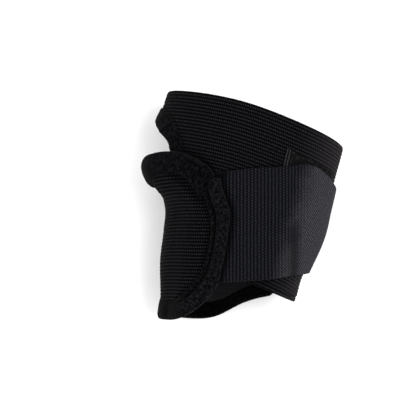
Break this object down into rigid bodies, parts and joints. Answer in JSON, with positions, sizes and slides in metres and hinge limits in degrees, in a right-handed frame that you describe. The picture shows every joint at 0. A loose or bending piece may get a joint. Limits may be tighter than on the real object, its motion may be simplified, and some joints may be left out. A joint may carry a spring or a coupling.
{
  "type": "wrist guard",
  "caption": "Soft right-hand wrist guard: ribbed elastic back, padded palm with a flat stay, thumb hole, thumb-side closing flap and a wide wrap strap under it.",
  "frame": {"origin": "centre of the bounding box at the surface the guard lies on, palm down", "axes": "+X towards the little-finger side, +Y towards the fingers, +Z from the palm to the back of the hand"},
  "size_m": [0.0952, 0.1104, 0.0575],
  "materials": {
    "ribbed_elastic": "matte ribbed knit",
    "binding_tape": "soft napped tape",
    "loop_strap": "brushed loop pile",
    "hook_tape": "dense nylon hooks",
    "palm_fabric": "matte woven nylon",
    "lining": "smooth knit",
    "foam": "open-cell foam",
    "stay_aluminium": "satin"
  },
  "bodies": {
    "root": {"back_panel": "ribbed_elastic", "cuff_binding": "binding_tape", "keeper_hook_patch": "hook_tape", "palm_edge_binding": "binding_tape", "palm_foam": "foam", "palm_lining": "lining", "palm_seam_tape": "binding_tape", "palm_shell": "palm_fabric", "stay_pocket": "palm_fabric", "strap_anchor": "loop_strap", "thumb_binding": "binding_tape", "web_binding": "binding_tape"},
    "flap": {"flap_shell": "ribbed_elastic", "flap_foam": "foam", "flap_lining": "lining", "flap_hook_patch": "hook_tape", "flap_edge_binding": "binding_tape", "saddle_binding": "binding_tape"},
    "strap": {"strap_web": "loop_strap", "strap_end_hem": "loop_strap"},
    "stay": {"palm_stay": "stay_aluminium"}
  },
  "joints": [
    {"name": "flap_peel", "type": "hinge", "parent": "root", "child": "flap", "pos_m": [-0.03745, 0.00041, 0.024], "axis": [0.2891, -0.9573, 0], "range_deg": [0, 115]},
    {"name": "strap_peel", "type": "hinge", "parent": "root", "child": "strap", "pos_m": [0.04835, 0.00741, 0.024], "axis": [0, 1, 0], "range_deg": [0, 52]},
    {"name": "stay_slide", "type": "slide", "parent": "root", "child": "stay", "axis": [0, -1, 0], "range_m": [0, 0.066]}
  ],
  "couplings": [
    {"joint": "strap_peel", "follows": "flap_peel", "ratio": 0.45}
  ]
}
